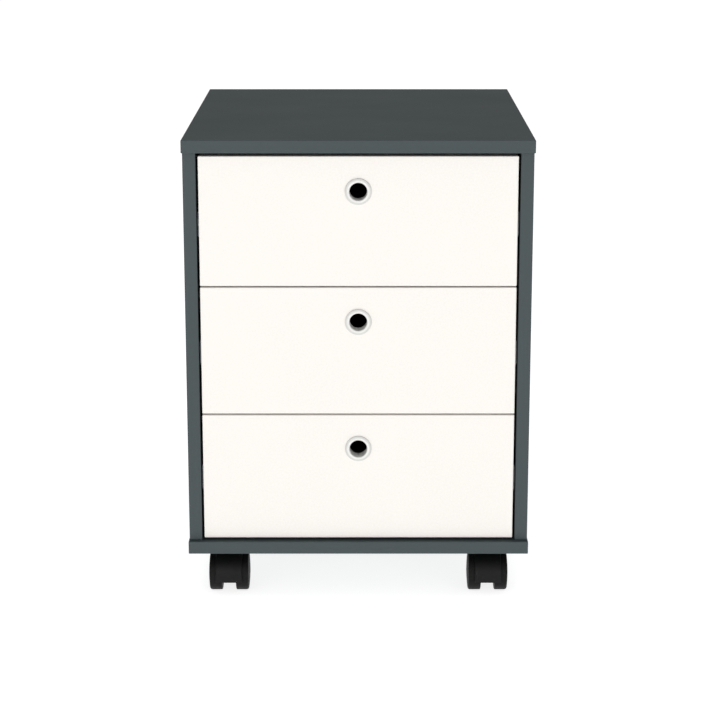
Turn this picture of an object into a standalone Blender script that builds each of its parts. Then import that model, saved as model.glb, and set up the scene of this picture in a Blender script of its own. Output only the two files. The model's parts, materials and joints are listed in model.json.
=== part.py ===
"""Rolling pedestal cabinet: a chipboard carcass on swivel casters, with drawers on ball slides.

Lengths are in metres and +Z is up. The drawers open towards -Y. The origin is on the floor, under
the middle of the cabinet. Left and right are as seen from the front.
"""

import math

import bmesh
import bpy
from mathutils import Vector

# Overall size and boards
WIDTH = 0.430
DEPTH = 0.500
HEIGHT = 0.588
BOARD = 0.016
FIT = 0.0003
EDGE_ROUND = 0.0008
SIDE_INSET = 0.001
FRONT_INSET = 0.007

# Back panel, in a groove all round
BACK_THICKNESS = 0.003
BACK_GROOVE_DEPTH = 0.006
BACK_SETBACK = 0.008

# Drawer fronts
DRAWERS = ("bottom_drawer", "middle_drawer", "top_drawer")
SIDE_GAP = 0.003
TOP_GAP = 0.0045
BOTTOM_GAP = 0.0035
FRONT_SPACING = 0.002

# Drawer boxes
BOX_BOARD = 0.012
BOX_RISE = 0.014
BOX_HEADROOM = 0.027
BOX_REAR_SPACE = 0.014
TRAY_THICKNESS = 0.003
TRAY_GROOVE_DEPTH = 0.006
TRAY_RISE = 0.010

# Grip rings
GRIP_DROP = 0.0435
GRIP_HOLE = 0.022
GRIP_WALL = 0.0015
GRIP_OVERHANG = 0.004
GRIP_PROUD = 0.0018
GRIP_ROUND = 0.0012
GRIP_STEPS = 24

# Ball slides
RAIL_HEIGHT = 0.035
RAIL_SHEET = 0.0012
RAIL_BEND = 0.0013
RAIL_LIP = 0.003
RAIL_RUN = 0.0012
RAIL_SETBACK = 0.003
RAIL_REAR_SPACE = 0.013
RAIL_OVERLAP = 0.110
RAIL_HOLE = 0.0045
RAIL_HOLE_INSET = 0.035
BALL = 0.005
BALL_PITCH = 0.030
CAGE_SHEET = 0.0008
CAGE_MARGIN = 0.004

# Casters
CASTER_INSET_X = 0.0495
CASTER_INSET_Y = 0.0527
CASTER_TRAIL = 0.016
WHEEL_DIAMETER = 0.050
WHEEL_WIDTH = 0.0175
WHEEL_GAP = 0.0175
WHEEL_PLAY = 0.0005
WHEEL_STEPS = 26
TREAD_ROUND = 0.003
FACE_DOME = 0.0013
RIM_WIDTH = 0.0035
RIM_GROOVE_WIDTH = 0.0014
RIM_GROOVE_DEPTH = 0.0008
HUB_CAP = 0.0042
AXLE_DIAMETER = 0.008
HOOD_GAP = 0.0008
HOOD_WALL = 0.0022
HOOD_WIDTH = 0.0335
HOOD_DROOP = math.radians(16)
HOOD_HUB = 0.024
HOOD_STEPS = 18
NECK_DIAMETER = 0.020
NECK_RISE = 0.0042
KINGPIN_DIAMETER = 0.008
KINGPIN_LENGTH = 0.018
PLATE_SIZE = 0.038
PLATE_THICKNESS = 0.0022
PLATE_CORNER = 0.005
PLATE_HOLE = 0.0045
PLATE_HOLE_EDGE = 0.005
ROUND_STEPS = 8
NECK_STEPS = 20

# Finishes: colour channels out of 255, roughness, metallic value
FINISHES = {
    "graphite_board": ((72, 79, 80), 0.5, 0.0),
    "graphite_fibreboard": ((66, 72, 73), 0.6, 0.0),
    "cream_white_board": ((252, 249, 243), 0.45, 0.0),
    "white_plastic": ((236, 236, 232), 0.35, 0.0),
    "light_grey_foil": ((205, 205, 200), 0.55, 0.0),
    "grey_fibreboard": ((196, 196, 190), 0.6, 0.0),
    "zinc_plated_steel": ((178, 181, 184), 0.35, 1.0),
    "ball_cage_steel": ((150, 150, 148), 0.4, 1.0),
    "caster_plate_steel": ((165, 168, 170), 0.4, 1.0),
    "black_hood_plastic": ((26, 26, 27), 0.45, 0.0),
    "black_wheel_plastic": ((20, 20, 21), 0.5, 0.0),
}

# Places that follow from the sizes above
WHEEL_RADIUS = WHEEL_DIAMETER / 2
AXLE_REACH = WHEEL_WIDTH - HUB_CAP
HOOD_INSIDE = WHEEL_RADIUS + HOOD_GAP
HOOD_RADIUS = HOOD_INSIDE + HOOD_WALL
NECK_TOP = WHEEL_RADIUS + HOOD_RADIUS + NECK_RISE
PLATE_LOW = NECK_TOP + FIT
PLATE_HIGH = PLATE_LOW + PLATE_THICKNESS
FLOOR_LOW = PLATE_HIGH + FIT
FLOOR_HIGH = FLOOR_LOW + BOARD
CEILING = HEIGHT - BOARD
FRONT_Y = -DEPTH / 2
REAR_Y = DEPTH / 2
FACE_Y = FRONT_Y + FRONT_INSET
SIDE_OUT = WIDTH / 2 - SIDE_INSET
SIDE_IN = SIDE_OUT - BOARD
BACK_REAR = REAR_Y - BACK_SETBACK
BACK_FRONT = BACK_REAR - BACK_THICKNESS

# Drawer places, measured from the outer face and the lower edge of its front
FRONT_WIDTH = 2 * (SIDE_IN - SIDE_GAP)
FRONT_STACK = CEILING - FLOOR_HIGH - TOP_GAP - BOTTOM_GAP
FRONT_HEIGHT = (FRONT_STACK - FRONT_SPACING * (len(DRAWERS) - 1)) / len(DRAWERS)
BALL_ACROSS = 2 * FIT + RAIL_SHEET + CAGE_SHEET + BALL / 2
BALL_UP = RAIL_HEIGHT / 2 - RAIL_SHEET - FIT - BALL / 2
LIP_ACROSS = BALL_ACROSS + BALL / 2 + RAIL_RUN + RAIL_SHEET / 2
RAIL_SPACE = LIP_ACROSS + RAIL_SHEET / 2 + RAIL_RUN + RAIL_SHEET + FIT
BOX_OUT = SIDE_IN - RAIL_SPACE
BOX_IN = BOX_OUT - BOX_BOARD
BOX_START = BOARD + FIT
BOX_END = BACK_FRONT - FACE_Y - BOX_REAR_SPACE
BOX_TOP = FRONT_HEIGHT - BOX_HEADROOM
TRAY_LOW = BOX_RISE + TRAY_RISE
TRAY_HIGH = TRAY_LOW + TRAY_THICKNESS
GRIP_HEIGHT = FRONT_HEIGHT - GRIP_DROP
GRIP_SLEEVE = GRIP_HOLE + 2 * GRIP_WALL
GRIP_FLANGE = GRIP_SLEEVE + 2 * GRIP_OVERHANG
RAIL_START = BOARD + RAIL_SETBACK
RAIL_LENGTH = BACK_FRONT - FACE_Y - RAIL_REAR_SPACE - RAIL_START
RAIL_MIDDLE = (BOX_RISE + BOX_TOP) / 2
TRAVEL = RAIL_LENGTH - RAIL_OVERLAP


def linear(value):
    """One colour channel from 0..255 to Blender's linear scale."""
    share = value / 255
    return share / 12.92 if share <= 0.04045 else ((share + 0.055) / 1.055) ** 2.4


def material(finish):
    """The material of a finish, made when a piece first asks for it."""
    if finish in bpy.data.materials:
        return bpy.data.materials[finish]
    channels, roughness, metallic = FINISHES[finish]
    colour = (*map(linear, channels), 1.0)
    made = bpy.data.materials.new(finish)
    made.use_nodes = True
    shader = made.node_tree.nodes["Principled BSDF"]
    shader.inputs["Base Color"].default_value = colour
    shader.inputs["Roughness"].default_value = roughness
    shader.inputs["Metallic"].default_value = metallic
    made.diffuse_color = colour
    return made


def finished(work):
    """A mesh from the working mesh, facing out and shaded smooth up to its sharp edges."""
    bmesh.ops.recalc_face_normals(work, faces=work.faces)
    mesh = bpy.data.meshes.new("shape")
    work.to_mesh(mesh)
    work.free()
    mesh.shade_smooth()
    mesh.set_sharp_from_angle(angle=math.radians(35))
    return mesh


def block(low, high, edge=0.0, steps=2):
    """A box between two corners, with its edges rounded."""
    low = Vector(low)
    high = Vector(high)
    work = bmesh.new()
    bmesh.ops.create_cube(work, size=1.0)
    bmesh.ops.scale(work, vec=high - low, verts=work.verts)
    bmesh.ops.translate(work, vec=(low + high) / 2, verts=work.verts)
    if edge:
        bmesh.ops.bevel(work, geom=work.edges[:], offset=edge, segments=steps, profile=0.5, affect="EDGES")
    return finished(work)


def prism(outline, push):
    """A solid with a closed outline of points, pushed along a vector."""
    work = bmesh.new()
    face = work.faces.new([work.verts.new(point) for point in outline])
    pushed = bmesh.ops.extrude_face_region(work, geom=[face])
    moved = [item for item in pushed["geom"] if isinstance(item, bmesh.types.BMVert)]
    bmesh.ops.translate(work, vec=push, verts=moved)
    return finished(work)


def turned(profile, axis, steps, ring=False):
    """A turned solid. A ring's profile is a loop, and any other starts and ends on the axis."""
    work = bmesh.new()
    points = [work.verts.new(point) for point in profile]
    followers = points[1:] + points[:1] if ring else points[1:]
    edges = [work.edges.new(pair) for pair in zip(points, followers)]
    bmesh.ops.spin(work, geom=points + edges, axis=axis, angle=math.tau, steps=steps, use_merge=True)
    bmesh.ops.remove_doubles(work, verts=work.verts, dist=FIT / 100)
    return finished(work)


def ball(centre, diameter):
    """A coarse ball."""
    work = bmesh.new()
    bmesh.ops.create_uvsphere(work, u_segments=6, v_segments=4, radius=diameter / 2)
    bmesh.ops.translate(work, vec=centre, verts=work.verts)
    return finished(work)


def arc(centre, radius, start, end, steps):
    """Points in a plane along an arc, both ends included."""
    angles = [start + (end - start) * step / steps for step in range(steps + 1)]
    return [(centre[0] + radius * math.cos(a), centre[1] + radius * math.sin(a)) for a in angles]


def rod(centre, diameter, push, steps=ROUND_STEPS):
    """A round bar that starts at a point and runs along a vector."""
    push = Vector(push)
    turn = push.to_track_quat("Z", "Y")
    ring = arc((0, 0), diameter / 2, 0, math.tau, steps)[:-1]
    return prism([Vector(centre) + turn @ Vector((x, y, 0)) for x, y in ring], push)


def drill(centre, diameter, push, steps=ROUND_STEPS):
    """A cutter for a round hole whose flats lie at the stated diameter."""
    return rod(centre, diameter / math.cos(math.pi / steps), push, steps)


def combined(mesh, operation, tools):
    """The mesh cut by, or joined with, each tool in turn."""
    scene = bpy.context.scene.collection
    for tool in tools:
        target = bpy.data.objects.new("target", mesh)
        other = bpy.data.objects.new("tool", tool)
        scene.objects.link(target)
        scene.objects.link(other)
        step = target.modifiers.new("step", "BOOLEAN")
        step.operation = operation
        step.object = other
        graph = bpy.context.evaluated_depsgraph_get()
        mesh = bpy.data.meshes.new_from_object(target.evaluated_get(graph))
        bpy.data.objects.remove(target)
        bpy.data.objects.remove(other)
    return mesh


def cut(mesh, *tools):
    return combined(mesh, "DIFFERENCE", tools)


def joined(mesh, *tools):
    return combined(mesh, "UNION", tools)


def folded(path, thickness):
    """The outline of a bent sheet whose middle follows the path."""
    points = [Vector(point) for point in path]
    across = []
    for before, after in zip(points, points[1:]):
        run = (after - before).normalized()
        across.append(Vector((-run.y, run.x)))
    sides = []
    for first, second in zip(across[:1] + across, across + across[-1:]):
        sides.append((first + second) / (1 + first.dot(second)) * thickness / 2)
    left = [point + side for point, side in zip(points, sides)]
    right = [point - side for point, side in zip(points, sides)]
    return left + right[::-1]


def mirrored(half):
    """A path that is the same above and below its middle, from its upper half."""
    return half + [(across, -up) for across, up in reversed(half)]


def group(name, location, parent=None):
    """An empty that carries the pieces which move together."""
    empty = bpy.data.objects.new(name, None)
    bpy.context.scene.collection.objects.link(empty)
    empty.location = location
    empty.parent = parent
    return empty


def piece(name, mesh, finish, parent, location=(0, 0, 0)):
    """One named piece of the cabinet."""
    made = bpy.data.objects.new(name, mesh.copy())
    made.data.name = name
    made.data.materials.clear()
    made.data.materials.append(material(finish))
    bpy.context.scene.collection.objects.link(made)
    made.location = location
    made.parent = parent
    return made


def back_panel_mesh(play):
    """The back panel's space, grown by some play on every side."""
    reach = SIDE_IN + BACK_GROOVE_DEPTH - FIT + play
    low = (-reach, BACK_FRONT - play, FLOOR_HIGH - BACK_GROOVE_DEPTH + FIT - play)
    high = (reach, BACK_REAR + play, CEILING + BACK_GROOVE_DEPTH - FIT + play)
    return block(low, high)


def build_carcass(carcass):
    """Top, bottom, two sides and the back panel in its groove."""
    groove = back_panel_mesh(FIT)
    half = WIDTH / 2
    top = block((-half, FRONT_Y, CEILING), (half, REAR_Y, HEIGHT), EDGE_ROUND)
    floor = block((-half, FRONT_Y, FLOOR_LOW), (half, REAR_Y, FLOOR_HIGH), EDGE_ROUND)
    piece("top_panel", cut(top, groove), "graphite_board", carcass)
    piece("bottom_panel", cut(floor, groove), "graphite_board", carcass)
    side_groove = block(
        (-SIDE_IN - BACK_GROOVE_DEPTH, BACK_FRONT - FIT, 0),
        (SIDE_IN + BACK_GROOVE_DEPTH, BACK_REAR + FIT, HEIGHT),
    )
    for name, inner, outer in (
        ("left_side_panel", -SIDE_IN, -SIDE_OUT),
        ("right_side_panel", SIDE_IN, SIDE_OUT),
    ):
        side = block(
            (min(inner, outer), FACE_Y, FLOOR_HIGH + FIT),
            (max(inner, outer), REAR_Y, CEILING - FIT),
            EDGE_ROUND,
        )
        piece(name, cut(side, side_groove), "graphite_board", carcass)
    piece("back_panel", back_panel_mesh(0), "graphite_fibreboard", carcass)


def grip_section():
    """The ring's section: distance behind the front's face and radius, round the loop."""
    bore = GRIP_HOLE / 2
    rim = GRIP_FLANGE / 2
    sleeve = GRIP_SLEEVE / 2
    fillet = min(GRIP_ROUND, GRIP_PROUD - 2 * FIT, GRIP_OVERHANG / 2)
    ahead = fillet - GRIP_PROUD
    inner = arc((ahead, bore + fillet), fillet, -math.pi / 2, -math.pi, 2)
    outer = arc((ahead, rim - fillet), fillet, math.pi, math.pi / 2, 2)
    behind = [(-FIT, rim), (-FIT, sleeve), (BOARD, sleeve), (BOARD, bore)]
    return inner + outer + behind


def tray_mesh(play):
    """The space of a drawer's bottom, grown by some play on every side."""
    reach = BOX_IN + TRAY_GROOVE_DEPTH - FIT + play
    low = (-reach, BOARD - TRAY_GROOVE_DEPTH + FIT - play, TRAY_LOW - play)
    high = (reach, BOX_END + play, TRAY_HIGH + play)
    return block(low, high)


def front_shapes():
    """A drawer front with its finger hole, and the ring that lines it."""
    half = FRONT_WIDTH / 2
    panel = block((-half, 0, 0), (half, BOARD, FRONT_HEIGHT), EDGE_ROUND)
    hole = drill((0, -BOARD, GRIP_HEIGHT), GRIP_SLEEVE + 2 * FIT, (0, 3 * BOARD, 0), GRIP_STEPS)
    section = [(0, behind, radius) for behind, radius in grip_section()]
    ring = turned(section, (0, 1, 0), GRIP_STEPS, ring=True)
    return {
        "front": ("drawer", "cream_white_board", cut(panel, hole, tray_mesh(FIT)), 0),
        "grip_ring": ("drawer", "white_plastic", ring, GRIP_HEIGHT),
    }


def box_shapes():
    """The sides, back and bottom of a drawer."""
    shapes = {}
    for side, inner, outer in (("left", -BOX_IN, -BOX_OUT), ("right", BOX_IN, BOX_OUT)):
        low = (min(inner, outer), BOX_START, BOX_RISE)
        high = (max(inner, outer), BOX_END, BOX_TOP)
        wall = cut(block(low, high, EDGE_ROUND, steps=1), tray_mesh(FIT))
        shapes[f"{side}_side"] = ("drawer", "light_grey_foil", wall, 0)
    low = (FIT - BOX_IN, BOX_END - BOX_BOARD, TRAY_HIGH + FIT)
    high = (BOX_IN - FIT, BOX_END, BOX_TOP)
    shapes["back"] = ("drawer", "light_grey_foil", block(low, high, EDGE_ROUND, steps=1), 0)
    shapes["bottom"] = ("drawer", "grey_fibreboard", tray_mesh(0), 0)
    return shapes


def cabinet_rail_path():
    """Half of the outer rail's section: distance from the cabinet's side, height above the middle."""
    web = FIT + RAIL_SHEET / 2
    flange = RAIL_HEIGHT / 2 - RAIL_SHEET / 2
    return [
        (LIP_ACROSS, flange - RAIL_LIP),
        (LIP_ACROSS, flange - RAIL_BEND),
        (LIP_ACROSS - RAIL_BEND, flange),
        (web + RAIL_BEND, flange),
        (web, flange - RAIL_BEND),
    ]


def drawer_rail_path():
    """Half of the inner rail's section, on the drawer's side."""
    web = RAIL_SPACE - FIT - RAIL_SHEET / 2
    flange = BALL_UP - BALL / 2 - FIT - RAIL_SHEET / 2
    end = 3 * FIT + RAIL_SHEET + CAGE_SHEET
    return [(end, flange), (web - RAIL_BEND, flange), (web, flange - RAIL_BEND)]


def cage_path():
    """Half of the ball cage's section: its flange runs through the balls' centres."""
    web = 2 * FIT + RAIL_SHEET + CAGE_SHEET / 2
    end = LIP_ACROSS - RAIL_SHEET / 2 - FIT
    return [(end, BALL_UP), (web, BALL_UP)]


def rail(half, sheet, direction, start, length):
    """A bent sheet along the drawer's travel. Its section is measured from the cabinet's side."""
    outline = folded(mirrored(half), sheet)
    places = [(direction * (SIDE_IN - across), start, RAIL_MIDDLE + up) for across, up in outline]
    return prism(places, (0, length, 0))


def rail_screw_holes(direction):
    """Cutters for the screw holes near both ends of a rail, at the middle of its height."""
    push = (-direction * RAIL_SPACE, 0, 0)
    holes = []
    for along in (RAIL_START + RAIL_HOLE_INSET, RAIL_START + RAIL_LENGTH - RAIL_HOLE_INSET):
        holes.append(drill((direction * SIDE_IN, along, RAIL_MIDDLE), RAIL_HOLE, push))
    return holes


def cage(direction):
    """A strip with two rows of balls, placed so that it ends where the open rails still overlap."""
    length = RAIL_OVERLAP - 2 * CAGE_MARGIN
    start = RAIL_START + TRAVEL / 2 + CAGE_MARGIN
    count = int((length - BALL) / BALL_PITCH) + 1
    first = start + (length - (count - 1) * BALL_PITCH) / 2
    balls = []
    for row in (RAIL_MIDDLE + BALL_UP, RAIL_MIDDLE - BALL_UP):
        for number in range(count):
            place = (direction * (SIDE_IN - BALL_ACROSS), first + number * BALL_PITCH, row)
            balls.append(ball(place, BALL))
    return joined(rail(cage_path(), CAGE_SHEET, direction, start, length), *balls)


def slide_shapes():
    """The two ball slides of a drawer: rails on the cabinet, rails on the drawer, cages between."""
    shapes = {}
    for side, direction in (("left", -1), ("right", 1)):
        holes = rail_screw_holes(direction)
        outer = rail(cabinet_rail_path(), RAIL_SHEET, direction, RAIL_START, RAIL_LENGTH)
        inner = rail(drawer_rail_path(), RAIL_SHEET, direction, RAIL_START, RAIL_LENGTH)
        shapes[f"{side}_cabinet_rail"] = ("cabinet", "zinc_plated_steel", cut(outer, *holes), 0)
        shapes[f"{side}_drawer_rail"] = ("drawer", "zinc_plated_steel", cut(inner, *holes), 0)
        shapes[f"{side}_ball_cage"] = ("cage", "ball_cage_steel", cage(direction), 0)
    return shapes


def build_drawers(carcass):
    """The drawers from the bottom up. What moves together hangs on one empty at the front's face."""
    shapes = {**front_shapes(), **box_shapes(), **slide_shapes()}
    for number, name in enumerate(DRAWERS):
        place = (0, FACE_Y, FLOOR_HIGH + BOTTOM_GAP + number * (FRONT_HEIGHT + FRONT_SPACING))
        carriers = {
            "cabinet": group(f"{name}_fixed_rails", place, carcass),
            "drawer": group(f"{name}_slide", place, carcass),
            "cage": group(f"{name}_cage_slide", place, carcass),
        }
        for label, (carrier, surface, mesh, height) in shapes.items():
            piece(f"{name}_{label}", mesh, surface, carriers[carrier], (0, 0, height))


def plate_mesh():
    """A caster's screw plate with its kingpin, measured from the floor under the kingpin."""
    reach = PLATE_SIZE / 2 - PLATE_CORNER
    spot = PLATE_SIZE / 2 - PLATE_HOLE_EDGE
    outline = []
    drills = []
    for quarter, (across, along) in enumerate(((1, 1), (-1, 1), (-1, -1), (1, -1))):
        start = quarter * math.pi / 2
        outline += arc((across * reach, along * reach), PLATE_CORNER, start, start + math.pi / 2, 3)
        below = (across * spot, along * spot, PLATE_LOW - PLATE_THICKNESS)
        drills.append(drill(below, PLATE_HOLE, (0, 0, 3 * PLATE_THICKNESS)))
    plate = prism([(x, y, PLATE_LOW) for x, y in outline], (0, 0, PLATE_THICKNESS))
    middle = PLATE_LOW + PLATE_THICKNESS / 2
    pin = rod((0, 0, middle), KINGPIN_DIAMETER, (0, 0, PLATE_LOW - KINGPIN_LENGTH - middle))
    return joined(cut(plate, *drills), pin)


def hood_mesh():
    """A caster's hood with its axle stubs, measured from the floor under the kingpin."""
    axle = (-CASTER_TRAIL, WHEEL_RADIUS)
    over = arc(axle, HOOD_RADIUS, math.pi + HOOD_DROOP, -HOOD_DROOP, HOOD_STEPS)
    under = arc(axle, HOOD_HUB / 2, -math.pi / 4, -3 * math.pi / 4, 4)
    shell = prism([(-HOOD_WIDTH / 2, y, z) for y, z in over + under], (HOOD_WIDTH, 0, 0))
    neck = rod((0, 0, NECK_TOP), NECK_DIAMETER, (0, 0, -KINGPIN_LENGTH), NECK_STEPS)
    web = WHEEL_GAP / 2 - WHEEL_PLAY
    reach = WHEEL_GAP / 2 + AXLE_REACH
    rooms = []
    for way in (-1, 1):
        rooms.append(drill((way * web, *axle), 2 * HOOD_INSIDE, (way * reach, 0, 0), 2 * HOOD_STEPS))
    stubs = rod((-reach, *axle), AXLE_DIAMETER, (2 * reach, 0, 0))
    socket = drill((0, 0, NECK_TOP + FIT), KINGPIN_DIAMETER + 2 * FIT, (0, 0, -KINGPIN_LENGTH - 2 * FIT))
    return cut(joined(cut(joined(shell, neck), *rooms), stubs), socket)


def wheel_mesh(direction):
    """A wheel about its axle, with its inner face at the origin. It stands on a flat of its tread."""
    flat = math.cos(math.pi / WHEEL_STEPS)
    bore = (AXLE_DIAMETER / 2 + FIT) / flat
    tread = WHEEL_RADIUS / flat
    edge = tread - TREAD_ROUND
    cover = edge - RIM_WIDTH - RIM_GROOVE_WIDTH

    def domed(radius):
        return (WHEEL_WIDTH - FACE_DOME * (radius / edge) ** 2, radius)

    crown = arc((domed(edge)[0] - TREAD_ROUND, edge), TREAD_ROUND, math.pi / 2, 0, 2)
    section = [
        (AXLE_REACH + FIT, 0),
        (AXLE_REACH + FIT, bore),
        (0, bore),
        (0, tread - TREAD_ROUND / 2),
        (TREAD_ROUND / 2, tread),
        *crown,
        domed(edge - RIM_WIDTH),
        (domed(cover)[0] - RIM_GROOVE_DEPTH, cover + RIM_GROOVE_WIDTH / 2),
        domed(cover),
        domed(cover / 2),
        domed(0),
    ]
    angle = math.pi / WHEEL_STEPS - math.pi / 2
    places = [(direction * along, r * math.cos(angle), r * math.sin(angle)) for along, r in section]
    return turned(places, (1, 0, 0), WHEEL_STEPS)


def build_casters(carcass):
    """Four casters, all trailing the same way. Hood and wheels hang on an empty on the kingpin's axis."""
    across = WIDTH / 2 - CASTER_INSET_X
    along = DEPTH / 2 - CASTER_INSET_Y
    plate = plate_mesh()
    hood = hood_mesh()
    wheels = {"left_wheel": (-1, wheel_mesh(-1)), "right_wheel": (1, wheel_mesh(1))}
    for row, y in (("front", -along), ("rear", along)):
        for side, x in (("left", -across), ("right", across)):
            name = f"{row}_{side}_caster"
            piece(f"{name}_plate", plate, "caster_plate_steel", carcass, (x, y, 0))
            swivel = group(f"{name}_swivel", (x, y, 0), carcass)
            piece(f"{name}_hood", hood, "black_hood_plastic", swivel)
            for wheel, (direction, mesh) in wheels.items():
                axle = (direction * WHEEL_GAP / 2, -CASTER_TRAIL, WHEEL_RADIUS)
                piece(f"{name}_{wheel}", mesh, "black_wheel_plastic", swivel, axle)


def build_cabinet():
    for old in list(bpy.data.objects):
        bpy.data.objects.remove(old)
    carcass = group("cabinet", (0, 0, 0))
    build_carcass(carcass)
    build_drawers(carcass)
    build_casters(carcass)


build_cabinet()
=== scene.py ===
import json
import math

import bmesh
import bpy
from mathutils import Matrix, Vector


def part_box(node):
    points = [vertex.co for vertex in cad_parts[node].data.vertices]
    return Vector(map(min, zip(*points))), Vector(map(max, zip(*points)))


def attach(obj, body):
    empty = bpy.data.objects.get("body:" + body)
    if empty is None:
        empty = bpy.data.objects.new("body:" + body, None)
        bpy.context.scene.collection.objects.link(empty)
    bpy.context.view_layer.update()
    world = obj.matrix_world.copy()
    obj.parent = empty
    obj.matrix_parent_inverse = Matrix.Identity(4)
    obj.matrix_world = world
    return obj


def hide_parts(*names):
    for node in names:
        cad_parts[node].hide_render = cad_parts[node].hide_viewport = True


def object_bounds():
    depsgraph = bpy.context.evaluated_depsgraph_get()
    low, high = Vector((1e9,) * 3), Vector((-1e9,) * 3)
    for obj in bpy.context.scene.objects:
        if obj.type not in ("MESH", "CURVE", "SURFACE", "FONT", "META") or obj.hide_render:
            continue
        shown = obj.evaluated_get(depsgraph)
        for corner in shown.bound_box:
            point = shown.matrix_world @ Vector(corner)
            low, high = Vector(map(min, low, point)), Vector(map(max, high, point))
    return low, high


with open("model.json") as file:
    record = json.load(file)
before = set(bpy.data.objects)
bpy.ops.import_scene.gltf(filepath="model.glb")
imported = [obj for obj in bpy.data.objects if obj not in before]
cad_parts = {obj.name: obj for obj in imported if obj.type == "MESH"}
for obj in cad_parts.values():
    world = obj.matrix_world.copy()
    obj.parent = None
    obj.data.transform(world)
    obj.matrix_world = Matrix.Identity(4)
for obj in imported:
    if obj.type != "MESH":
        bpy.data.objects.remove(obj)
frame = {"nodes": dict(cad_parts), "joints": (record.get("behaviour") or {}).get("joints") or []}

cad_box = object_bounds()
nodes = frame["nodes"]
joints = {joint["name"]: joint for joint in frame["joints"]}

DRAWERS = ("bottom_drawer", "middle_drawer", "top_drawer")
CASTERS = ("front_left_caster", "front_right_caster", "rear_left_caster", "rear_right_caster")
SIDES = (("left", -1), ("right", 1))

# Camera: place, downward tilt in degrees, lens in millimetres and upward shift of its frame
CAMERA_PLACE = (0.0021, -2.70, 0.954)
CAMERA_TILT = 13.43
CAMERA_LENS = 102.2
CAMERA_SHIFT = -0.06

# Studio: each lamp's name, place, size and power, then the strength of the surround, and the floor
LAMPS = (
    ("key", (-1.3, -3.0, 0.75), (2.4, 1.3), 18.5),
    ("fill", (1.5, -3.0, 0.70), (2.4, 1.3), 14.5),
    ("overhead", (0.0, 0.2, 3.2), (2.6, 2.6), 19.5),
)
SURROUND_AHEAD = 0.55
SURROUND_BEHIND = 0.35
FLOOR_REACH = 30.0
FLOOR_CELLS = 8
FLOOR_GLOW = 0.8

# Textures: features to the metre
BOARD_CLOUDS = 9.0
BOARD_SPECKS = 420.0
BOARD_SMUDGES = 5.0
BOARD_PEARL = 1500.0
THREAD_BENDS = 60.0
THREAD_SLUBS = (40.0, 320.0, 320.0)
FOIL_SMUDGES = 30.0
FELT_FIBRES = 700.0
STEEL_STREAKS = (900.0, 14.0, 900.0)
STEEL_FILM = 85.0
PLASTIC_FLOW = 70.0
RING_SKIN = 900.0
HOOD_SKIN = 2200.0
WHEEL_FLOW = 60.0
WHEEL_SKIN = 1800.0
DUST_PATCHES = 240.0
FLOOR_MOTTLE = 3.0

# Textures: widths and depths of relief
EDGING = 0.0010
EDGING_LINE = 0.00025
CARCASS_GRAIN = 0.00003
FRONT_GRAIN = 0.000015
THREAD_PITCH = 0.0011
THREAD_WOBBLE = 0.004
WEAVE_DEPTH = 0.00002
STREAK_DEPTH = 0.00001
NYLON_DEPTH = 0.00002
RING_DEPTH = 0.000008
FLOOR_DEPTH = 0.0001

# Textures: how strongly clouds and joint lines show on the boards
CLOUD_SHARE = 0.35
LINE_SHARE = 0.45

# Shading: edges that stay soft or turn sharp, and points that count as one
SOFT_ANGLE = math.radians(50)
SHARP_ANGLE = math.radians(38)
CAD_WELD = 0.00001
TURN_WELD = 0.000002

# Fineness: steps of curves, and the round profile of an edge
ROUND_STEPS = 72
HOOD_STEPS = 48
HOLE_STEPS = 32
HEAD_STEPS = 30
HUB_STEPS = 12
BEND_STEPS = 8
DOME_STEPS = 8
FILLET_STEPS = 6
SMALL_FILLET_STEPS = 4
EDGE_STEPS = 3
EDGE_PROFILE = 0.5

# Grip rings. The painted shade of the outer lip and of the bore starts and ends this far from the rim
# and from the bore
GRIP_HOLE = 0.022
GRIP_WALL = 0.0015
GRIP_FILLET = 0.0012
RIM_SHADE_START = 0.0033
RIM_SHADE_END = 0.0020
BORE_SHADE_START = 0.0003
BORE_SHADE_END = 0.0009

# Ball slides
RAIL_SHEET = 0.0012
RAIL_BEND = 0.0025
RAIL_HOLE = 0.0045
RAIL_SLOT_RUN = 0.0023
RAIL_HOLE_PITCH = 0.032
RAIL_SCREW_INSET = 0.035
BALL = 0.005
BALL_PLAY = 0.0001
BALL_PITCH = 0.030
BALL_SEAT = 0.0033
CAGE_SHEET = 0.0006
CAGE_BEND = 0.0010
CAGE_WINDOW = 0.011
CAGE_WINDOW_RUN = 0.002
CUT_REACH = 0.004

# Caster mouldings. The floors of the rim groove and of the hub dimple are shares of their width
HOOD_WIDTH = 0.0335
HOOD_GAP = 0.0008
HOOD_DROOP = math.radians(16)
HOOD_HUB = 0.024
HOOD_EDGE = 0.0012
HOOD_WEB = 0.0165
NECK_DIAMETER = 0.020
NECK_LENGTH = 0.018
KINGPIN_DIAMETER = 0.008
AXLE_DIAMETER = 0.008
AXLE_CAP = 0.0042
RUN_GAP = 0.0003
TREAD_ROUND = 0.003
FACE_DOME = 0.0013
RIM_WIDTH = 0.0035
RIM_GROOVE_WIDTH = 0.0014
RIM_GROOVE_DEPTH = 0.0008
RIM_GROOVE_FLOOR = (0.7, 0.3)
HUB_DIMPLE = 0.006
HUB_DIMPLE_DEPTH = 0.0006
HUB_DIMPLE_FLOOR = 0.8

# Caster plates
PLATE_THICKNESS = 0.0022
PLATE_CORNER = 0.005
PLATE_EDGE = 0.0003
PLATE_HOLE = 0.0045
PLATE_SCREW_EDGE = 0.005

# Fittings: diameters and heights of heads, and where they sit
PLATE_SCREW = (0.0078, 0.0024)
RAIL_SCREW = (0.0070, 0.0020)
FLUSH_SCREW = (0.0042, 0.0010)
CAM = (0.015, 0.0006)
BOX_SCREW = (0.0070, 0.0006)
PANEL_SCREW = (0.0095, 0.0006)
SEAT_GAP = 0.0001
BOX_BOARD = 0.012
BOX_SCREW_INSET = 0.026
BOX_CAM_INSET = 0.030
TOP_CAM_DROP = 0.024
PANEL_FITTING_INSET = 0.060

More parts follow.
